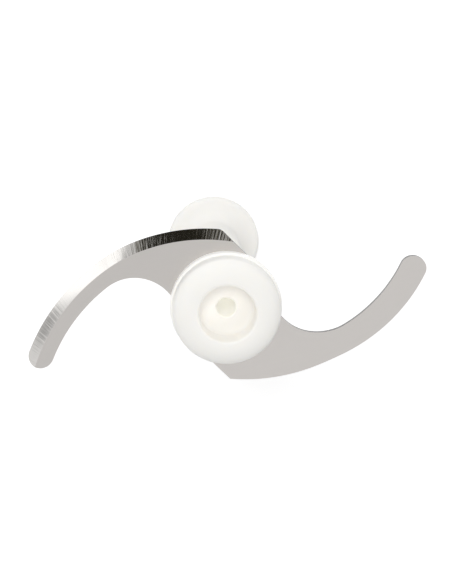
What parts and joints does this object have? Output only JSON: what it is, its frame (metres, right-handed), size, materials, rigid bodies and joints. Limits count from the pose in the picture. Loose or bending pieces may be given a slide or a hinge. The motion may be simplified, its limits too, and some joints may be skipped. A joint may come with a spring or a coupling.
{
  "type": "food processor blade",
  "caption": "S-shaped steel cutting blade with ground edges, moulded into a tall white plastic hub with a grip disc and a drive socket.",
  "frame": {"origin": "centre of the grip end's flat face, on the hub axis, where the part stands", "axes": "+Z along the hub axis towards the drive end; +X through the tip of the wing whose bevel is on the side away from the drive end; +Y completes the frame"},
  "size_m": [0.171, 0.073, 0.14],
  "materials": {
    "blade_steel": "fine satin flats with a ground bevel along each cutting edge",
    "hub_plastic": "moulded, waxy, slightly translucent natural white"
  },
  "bodies": {
    "root": {"blade": "blade_steel", "hub": "hub_plastic"}
  },
  "joints": []
}
